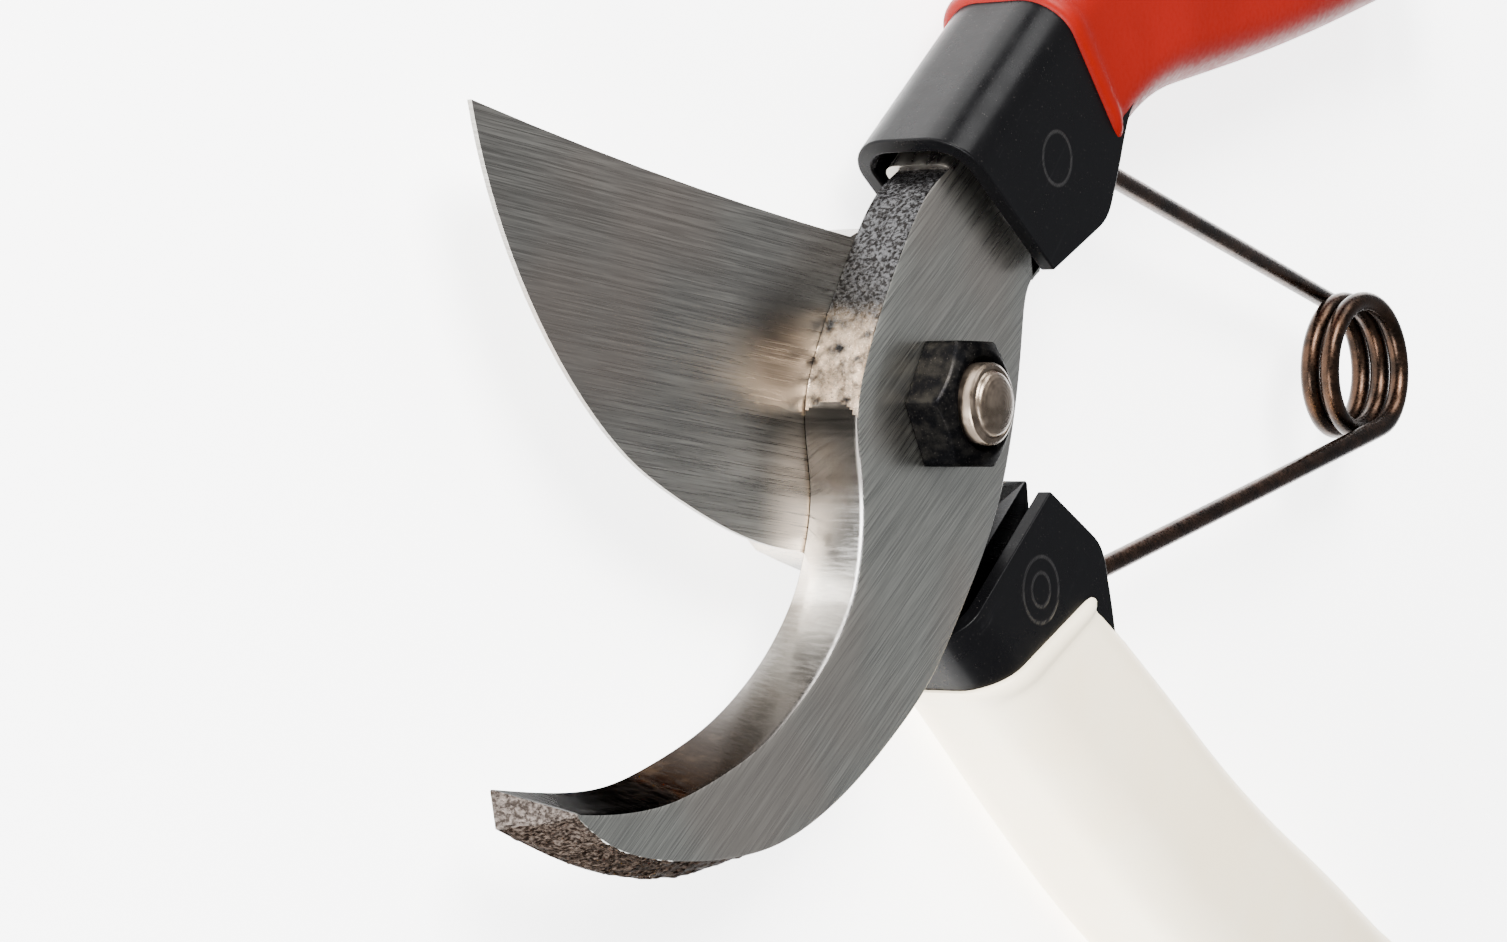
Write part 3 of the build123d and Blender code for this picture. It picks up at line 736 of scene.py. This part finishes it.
# The slant of a channel's front end dies out over this length. Under the sleeve its free edge
# drops a little over a short run, and the sheet ends inside.
SLANT_END = 11
HIDDEN_EDGE, EDGE_DROP_RUN = WALL_EDGE - 1, 8
CHANNEL_END = 80.0
EDGE_PASSES = 12


def rounded_run(points, radius, steps=6):
    """A run of straight lines with its inner corners rounded."""
    points = [np.array(p, float) for p in points]
    out = [points[0]]
    for before, corner, after in zip(points, points[1:], points[2:]):
        u, v = before - corner, after - corner
        reach = min(radius, np.linalg.norm(u) / 2.2, np.linalg.norm(v) / 2.2)
        p, q = corner + u / np.linalg.norm(u) * reach, corner + v / np.linalg.norm(v) * reach
        out += [quadratic(p, corner, q, k / steps) for k in range(steps + 1)]
    out.append(points[-1])
    return np.array(out)


def channel(name, line, nose, length, body):
    """A pressed channel: its outside skin, thickened inwards, with a wide slanted front end."""
    (back_along, _), toe = nose[0], nose[1]
    lean = (toe[0] - back_along) / (toe[1] + BACK)
    free_edge = list(nose[1:]) + [(nose[-1][0] + EDGE_DROP_RUN, HIDDEN_EDGE), (length, HIDDEN_EDGE)]
    free_edge = rounded_run(free_edge, 1.8)

    def along(s, across):
        return s + (back_along + (across + BACK) * lean) * max(0.0, 1 - s / SLANT_END)

    # Close stations at the front end, and wider ones under the sleeve.
    stations = [0, 0.4, 0.9, 1.6, 2.5, *np.arange(3.5, 30, 0.7), *np.arange(30, length, 1.6), length]
    top = line.rear + CHANNEL
    rings = []
    for s in stations:
        edge = toe[1]
        for _ in range(EDGE_PASSES):
            edge = np.interp(along(s, edge), free_edge[:, 0], free_edge[:, 1])
        wall = [(edge + (BEND - BACK - edge) * k / 8, 0.0) for k in range(9)]
        turns = [math.pi / 2 * k / 9 for k in range(1, 9)]
        bend = [(BEND - BACK - BEND * math.sin(t), BEND - BEND * math.cos(t)) for t in turns]
        back = [(-BACK, BEND + (CHANNEL - 2 * BEND) * k / 5) for k in range(6)]
        half = wall + bend
        profile = half + back + [(a, CHANNEL - d) for a, d in reversed(half)]
        rings.append([line.point(along(s, a), a, top - d) for a, d in profile])
    verts, faces = skin(rings, closed=False)
    if line.inward > 0:
        faces = [face[::-1] for face in faces]
    piece = place_mesh(name, verts, faces, body, "black_steel", [LACQUER])
    thick = piece.modifiers.new("sheet", "SOLIDIFY")
    thick.thickness = SHEET * MM
    thick.offset = -1
    thick.use_even_offset = True
    round_edges(piece, 0.4, 50)
    return piece


def rounded_box(ca, cz, ha, hz, radius, steps=12):
    """Points round a box with rounded corners, from its middle and half sizes."""
    radius = min(radius, ha - 0.01, hz - 0.01)
    out = []
    for quarter, (sa, sz) in enumerate(((1, 1), (-1, 1), (-1, -1), (1, -1))):
        a, z = ca + sa * (ha - radius), cz + sz * (hz - radius)
        for k in range(steps + 1):
            angle = math.pi / 2 * (quarter + k / steps)
            out.append((a + radius * math.cos(angle), z + radius * math.sin(angle)))
    return out


def evenly(points, count):
    """The same run of points, spaced evenly."""
    points = np.array(points, float)
    lengths = travelled(points)
    places = np.linspace(0, lengths[-1], count)
    return np.stack([np.interp(places, lengths, points[:, k]) for k in range(points.shape[1])], 1)


# The groove for the spring along a sleeve's inner side: its edges' heights and its floor.
GROOVE_LOW, GROOVE_HIGH, GROOVE_FLOOR = 5.1, 14.1, 6.2
GRIP_CORNER = 5.2
# Points round the outside and through the groove.
OUTSIDE, INSIDE = 90, 26


def grip_section(back, side, low, high, inset, grooved):
    """Points round a grip from the groove's front lip, over the back, and through the groove."""
    ca, cz = (side - back) / 2, (low + high) / 2
    half_a, half_z = (side + back) / 2 - inset, (high - low) / 2 - inset
    box = rounded_box(ca, cz, half_a, half_z, GRIP_CORNER - inset * 0.6)
    start = next(k for k, p in enumerate(box) if p[1] >= GROOVE_HIGH or p[0] < side - 2.5)
    end = max(k for k, p in enumerate(box) if p[1] <= GROOVE_LOW or p[0] < side - 2.5)
    outside = evenly(box[start:end + 1], OUTSIDE)
    front_lip, rear_lip = outside[0], outside[-1]
    rear_floor, front_floor = (
        lip[0] - grooved * max(lip[0] - GROOVE_FLOOR, 0.0) for lip in (rear_lip, front_lip)
    )
    bulge = (1 - grooved) * max(0.0, side - inset - front_lip[0])
    path = [
        rear_lip, (rear_floor, rear_lip[1] + 0.3), (rear_floor + bulge, cz),
        (front_floor, front_lip[1] - 0.3), front_lip,
    ]
    groove = evenly(rounded_run(path, 1.1 if grooved > 0.5 else 3.0), INSIDE)
    rear_curve = [quadratic(outside[-3], rear_lip, groove[2], t) for t in (0.2, 0.4, 0.6, 0.8)]
    front_curve = [quadratic(groove[-3], front_lip, outside[2], t) for t in (0.2, 0.4, 0.6, 0.8)]
    return [*outside[2:-2], *rear_curve, *groove[2:-2], *front_curve]


def against_channel(point, rear):
    """The nearest place just outside the steel channel."""
    a, z = point
    gap, inner = 0.06, BEND - BACK
    for corner_z, above in ((rear + CHANNEL - BEND, True), (rear + BEND, False)):
        if a < inner and (z > corner_z if above else z < corner_z):
            away, _ = unit(np.array((a - inner, z - corner_z)))
            away = away * (BEND + gap)
            return inner + away[0], corner_z + away[1]
    if z > rear + CHANNEL:
        return a, rear + CHANNEL + gap
    if z < rear:
        return a, rear - gap
    if a < 0:
        return -BACK - gap, z
    return a - SHEET, z


# The sleeve's mouth: from the steel out over the lip (hug is 1 on the steel, 0 on the sleeve),
# then back down behind the lip to the sleeve's own size.
LIP = ((1.0, 0.35), (0.93, 0.1), (0.75, -0.12), (0.5, -0.2), (0.25, -0.12), (0.07, 0.1), (0.0, 0.4))
SHOULDER = ((0.8, 0.36), (1.2, 0.34), (1.6, 0.22), (1.9, 0.08), (2.2, 0.0), (2.8, -0.03), (3.6, 0.0))
LIP_SWELL = 0.3
TUCKED_IN = (4.0, 1.0)
# The plain rings between the mouth and the rounded end.
PLAIN_FROM, PLAIN_TO, PLAIN_STEP = 4.6, 3.4, 1.1
# The mouth's slant dies out over this length, the groove over this one, and the far end is rounded.
LEAN_END, GROOVE_FADE = 24, 4
END_ROUND = 3.2


def grip(name, line, stations, mouth, lean, groove_end, body, slot, material):
    """A dipped sleeve: tucked in on the steel, with a lip, a groove for the spring and a round end."""
    sizes = Cubic([row[0] for row in stations], [row[1:] for row in stations])
    end = stations[-1][0]
    slope = math.tan(math.radians(lean))

    def ring(distance, outward=0.0, inset=0.0, hug=0.0):
        back, side, low, high = sizes.at(distance)
        grooved = min(1.0, max(0.0, (groove_end - distance) / GROOVE_FADE))
        grooved = grooved * grooved * (3 - 2 * grooved)
        section = grip_section(back + outward, side + outward, low - outward, high + outward, inset, grooved)
        slant = slope * max(0.0, 1 - max(0.0, distance - mouth) / LEAN_END)
        out = []
        for a, z in section:
            if hug:
                near_a, near_z = against_channel((a, z), line.rear)
                a, z = a + (near_a - a) * hug, z + (near_z - z) * hug
            out.append(line.point(distance + slant * a, a, z))
        return out

    rings = [ring(mouth + inside, hug=1.0) for inside in TUCKED_IN]
    rings += [ring(mouth + step, LIP_SWELL, hug=hug) for hug, step in LIP]
    rings += [ring(mouth + step, outward) for step, outward in SHOULDER]
    rings += [ring(distance) for distance in np.arange(mouth + PLAIN_FROM, end - PLAIN_TO, PLAIN_STEP)]
    for t in (math.pi / 2 * k / 8 for k in range(9)):
        rings.append(ring(end - END_ROUND + END_ROUND * math.sin(t), inset=END_ROUND * (1 - math.cos(t))))
    last = np.array(rings[-1])
    middle = last.mean(0)
    rings += [[tuple(middle + (p - middle) * f) for p in last] for f in (0.75, 0.5, 0.25, 0.05)]
    verts, faces = skin(rings)
    faces.append(tuple(range(len(verts) - len(last), len(verts))))
    if line.inward < 0:
        faces = [face[::-1] for face in faces]
    piece = place_mesh(name, verts, faces, body, slot, [material])
    keep_normals(piece, 50)
    return piece


# Stations of the sleeves: distance along the line, then back, side, low and high.
RED_SIZES = (
    (21.0, 10.3, 10.3, 4.4, 19.3), (28.0, 10.4, 9.6, 3.4, 19.4), (40.0, 10.4, 9.4, 1.6, 19.5),
    (60.0, 10.4, 10.0, 0.1, 19.5), (82.0, 10.3, 10.0, 0.1, 19.3), (100.0, 9.4, 9.8, 2.3, 18.5),
    (112.0, 7.6, 10.1, 4.4, 18.2), (124.0, 5.6, 10.5, 4.8, 18.0),
)
WHITE_SIZES = (
    (8.0, 10.2, 10.1, 1.4, 15.7), (20.0, 10.2, 10.0, 0.9, 16.4), (34.0, 10.3, 9.9, 0.3, 17.4),
    (56.0, 10.4, 10.0, 0.1, 18.2), (80.0, 10.3, 10.0, 0.1, 18.0), (98.0, 9.4, 9.8, 2.1, 16.8),
    (111.0, 7.6, 10.1, 2.3, 15.6), (123.0, 5.6, 10.5, 2.5, 15.2),
)
# The channels' front ends: distance along the line and place across it.
RED_NOSE = ((0.4, -BACK), (4.9, 9.9), (16.4, 12.6), (24.0, 8.6), (28.0, WALL_EDGE))
WHITE_NOSE = ((2.0, -BACK), (5.7, 11.4), (16.9, 13.3), (21.6, 10.1), (26.0, WALL_EDGE))

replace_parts(channel("red_shell_sheet", RED_LINE, RED_NOSE, CHANNEL_END, COUNTER), "red_handle_shell")
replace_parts(channel("white_shell_sheet", WHITE_LINE, WHITE_NOSE, CHANNEL_END, CUTTING), "white_handle_shell")
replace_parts(grip("red_sleeve", RED_LINE, RED_SIZES, 23.1, 1.0, 112.0, COUNTER, "red_vinyl", RED), "red_grip")
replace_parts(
    grip("white_sleeve", WHITE_LINE, WHITE_SIZES, 14.8, 24.5, 111.3, CUTTING, "white_vinyl", WHITE),
    "white_grip",
)


# ------------------------------------------------------------------ rivets, nut and bolt
RIVET_SIDES = 56
SHANK_R = 2.0


def rivet(name, line, places, head, body, rings):
    """Peened rivets in one piece: the first has a marked head, the others are plain."""
    verts, faces = [], []
    low, high = line.rear, line.rear + CHANNEL
    foot = [(0.05, low - 0.12), (1.2, low - 0.1), (1.8, low - 0.02), (SHANK_R, low + 0.15)]
    marked = [(SHANK_R, high - 1.5), (head, high - 1.4), (head, high - 0.02)]
    marked += [(head - 0.12, high + 0.1), (head - 0.35, high + 0.14)]
    for radius in rings:
        marked += [(radius + 0.16, high + 0.12), (radius + 0.08, high - 0.05)]
        marked += [(radius - 0.08, high - 0.05), (radius - 0.16, high + 0.12)]
    marked.append((0.05, high + 0.16))
    plain = [(SHANK_R, high - 1.5), (SHANK_R, high - 0.15), (1.8, high - 0.02), (0.05, high)]
    for number, (distance, across) in enumerate(places):
        x, y, _ = line.point(distance, across, 0)
        more_verts, more_faces = capped([
            [(x + radius * math.cos(a), y + radius * math.sin(a), height) for a in circle(RIVET_SIDES)]
            for radius, height in foot + (plain if number else marked)
        ])
        faces += [tuple(len(verts) + n for n in face) for face in more_faces]
        verts += more_verts
    piece = place_mesh(name, verts, faces, body, "black_steel", [OXIDE])
    keep_normals(piece, 40)
    return piece


# The first place on each line shows; the second is under the sleeve.
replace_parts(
    rivet("red_rivet_heads", RED_LINE, ((12.5, 1.9), (36.0, -3.8)), 2.0, COUNTER, ()), "red_tang_rivets",
)
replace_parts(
    rivet("white_rivet_heads", WHITE_LINE, ((10.2, 2.5), (36.0, -3.8)), 3.2, CUTTING, (2.3, 1.2)),
    "white_tang_rivets",
)

# Half sizes of the nut across its flats and corners, its bore, and where its chamfer begins.
NUT_SIDES, NUT_FLATS, NUT_CORNERS, NUT_BORE, CONE_R = 144, 6.0, 6.87, 4.02, 5.1


def nut():
    """A hexagon nut: its corners are chamfered by a cone, and its thread has a countersunk mouth."""
    top = NUT_Z + NUT_H
    mouth = [(4.95, top - 0.01), (4.8, top), (4.75, top), (4.62, top - 0.03)]
    mouth += [(4.3, top - 0.35), (4.06, top - 0.62), (NUT_BORE, top - 0.8)]

    def cone(r):
        return top - max(0.0, (r - CONE_R) / math.sqrt(3))

    rings = []
    for angle in circle(NUT_SIDES):
        reach = min(NUT_FLATS / math.cos(angle % (math.pi / 3) - math.pi / 6), NUT_CORNERS)
        edge = reach - 0.12
        ring = [(NUT_BORE, NUT_Z), (reach - 0.15, NUT_Z), (reach, NUT_Z + 0.15), (reach, NUT_Z + 1.8)]
        ring += [(reach, cone(reach) - 0.12), (edge, cone(edge) - 0.02)]
        for r in (CONE_R + (edge - CONE_R) * f for f in (0.85, 0.65, 0.45, 0.25, 0.1)):
            ring.append((r, cone(r)))
        rings.append([(r * math.cos(angle), r * math.sin(angle), z) for r, z in ring + mouth])
    rings.append(rings[0])
    verts, faces = skin(rings)
    piece = place_mesh("pivot_nut_body", verts, [f[::-1] for f in faces], COUNTER, "oxide_steel", [OXIDE])
    keep_normals(piece, 24)
    return piece


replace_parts(nut(), "pivot_nut")

BOLT_SIDES = 96
HEAD_R, HEAD_FLATS, HEAD_H = 7.6, 6.5, 4.6
BOLT_R = 3.98
DOME_R, DOME_H = 3.1, 0.9


def bolt():
    """The pivot bolt: a round head with two spanner flats, a shank, and a ringed dome at its end."""
    rim = NUT_Z + NUT_H + 1.0
    head = [(HEAD_R - 1.0, 0), (HEAD_R, 1.0), (HEAD_R, HEAD_H - 0.15), (HEAD_R - 0.15, HEAD_H)]
    profile = [(0.05, 0), *head, (BOLT_R, HEAD_H), (BOLT_R, rim - 0.3), (3.9, rim - 0.12), (3.72, rim)]
    profile += [(3.5, rim + 0.1), (3.34, rim + 0.1), (3.24, rim + 0.02), (3.14, rim + 0.1)]
    dome = np.linspace(0.12, 1.55, 12)
    profile += [(DOME_R * math.cos(t), rim + 0.14 + DOME_H * math.sin(t)) for t in dome]
    rings = []
    for row, (radius, height) in enumerate(profile):
        ring = []
        for a in circle(BOLT_SIDES):
            r = radius
            if 0 < row <= len(head):
                r = min(radius, HEAD_FLATS / max(abs(math.cos(a)), 0.01) - (HEAD_R - radius))
            ring.append((r * math.cos(a), r * math.sin(a), height))
        rings.append(ring)
    piece = place_mesh("pivot_bolt_body", *capped(rings), COUNTER, "bolt_steel", [BOLT])
    keep_normals(piece, 32)
    return piece


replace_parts(bolt(), "pivot_bolt")


# ------------------------------------------------------------------ spring
COIL, COIL_R, WIRE_R = np.array((94.7, 5.7)), 7.3, 1.1
COIL_HALF = 3.0
# Each foot turns on a pin in its channel: the pin's place, and the eye's radius at the wire's middle.
UPPER_FOOT, UPPER_EYE = (24.6, 27.7, 11.1), 2.28
LOWER_FOOT, LOWER_EYE = (26.5, -19.95, 9.1), 2.85
# The eye is open towards its leg, which starts this far outside it and this much off its height.
EYE_FROM, EYE_TO, LEG_GAP, LEG_SHIFT = 0.9, 5.9, 2.2, 0.2
EYE_STEPS, LEG_STEPS, COIL_STEPS = 40, 60, 260
BEND_PASSES = 6


def leaves(foot, side):
    """The angle round the coil where a straight leg from the foot touches it."""
    arm = np.array(foot[:2]) - COIL
    return math.atan2(arm[1], arm[0]) + side * math.acos(COIL_R / np.hypot(*arm))


def tube(name, path, radius, body, slot, material, sides=20):
    """A round wire along a path, with its ends filled."""
    path = np.array(path)
    ahead = np.gradient(path, axis=0)
    ahead /= np.linalg.norm(ahead, axis=1)[:, None]
    across = np.cross(ahead[0], (0, 0, 1))
    rings = []
    for place, way in zip(path, ahead):
        across, _ = unit(across - way * across.dot(way))
        other = np.cross(way, across)
        rings.append([
            tuple(place + radius * (across * math.cos(a) + other * math.sin(a))) for a in circle(sides)
        ])
    return place_mesh(name, *capped(rings), body, slot, [material])


def eye(foot, towards, radius):
    """The open ring of a foot, and where its leg starts."""
    x, y, z = foot
    way = math.atan2(towards[1] - y, towards[0] - x)
    angles = [way + a for a in np.linspace(EYE_FROM, EYE_TO, EYE_STEPS)]
    ring = [(x + radius * math.cos(a), y + radius * math.sin(a), z) for a in angles]
    reach = radius + LEG_GAP
    return ring, (x + reach * math.cos(way), y + reach * math.sin(way))


def spring():
    """One wire: an eye, a leg, the coil, a leg and an eye."""
    first, last = leaves(UPPER_FOOT, -1), leaves(LOWER_FOOT, 1) - 4 * math.pi
    low, high = SHEAR_Z - COIL_HALF, SHEAR_Z + COIL_HALF
    coil = []
    for angle in np.linspace(first, last, COIL_STEPS):
        height = low + (high - low) * (first - angle) / (first - last)
        coil.append((COIL[0] + COIL_R * math.cos(angle), COIL[1] + COIL_R * math.sin(angle), height))
    upper_ring, near = eye(UPPER_FOOT, coil[0], UPPER_EYE)
    start, enter = np.array((*near, UPPER_FOOT[2] - LEG_SHIFT)), np.array(coil[0])
    lower_ring, near = eye(LOWER_FOOT, coil[-1], LOWER_EYE)
    stop, leave = np.array((*near, LOWER_FOOT[2] + LEG_SHIFT)), np.array(coil[-1])
    path = np.array([
        *upper_ring,
        *(start + (enter - start) * k / LEG_STEPS for k in range(LEG_STEPS)),
        *coil,
        *(leave + (stop - leave) * k / LEG_STEPS for k in range(1, LEG_STEPS + 1)),
        *lower_ring,
    ])
    for _ in range(BEND_PASSES):
        path[1:-1] = path[1:-1] * 0.5 + (path[:-2] + path[2:]) * 0.25
    wire = tube("spring_wire_whole", path, WIRE_R, None, "spring_steel", WIRE)
    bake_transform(wire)
    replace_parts(wire, "spring_upper", "spring_lower")


spring()

# ------------------------------------------------------------------ dress the rest
for name, material in {
    "red_spring_pin": OXIDE, "white_spring_pin": OXIDE, "latch_bush": BRIGHT, "latch_bail": BRIGHT,
}.items():
    dress(name, material)
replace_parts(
    eased("cutting_blade_body", "cutting_blade", CUTTING, STEEL_CUT, 0.12), "cutting_blade",
)

camera()
studio()
FLOOR_HALF = 3
floor_mesh = bpy.data.meshes.new("floor")
corners = [(x * FLOOR_HALF, y * FLOOR_HALF, 0) for x, y in ((-1, -1), (1, -1), (1, 1), (-1, 1))]
floor_mesh.from_pydata(corners, [], [(0, 1, 2, 3)])
floor_mesh.materials.append(floor_paint())
floor = bpy.data.objects.new("floor", floor_mesh)
bpy.context.collection.objects.link(floor)
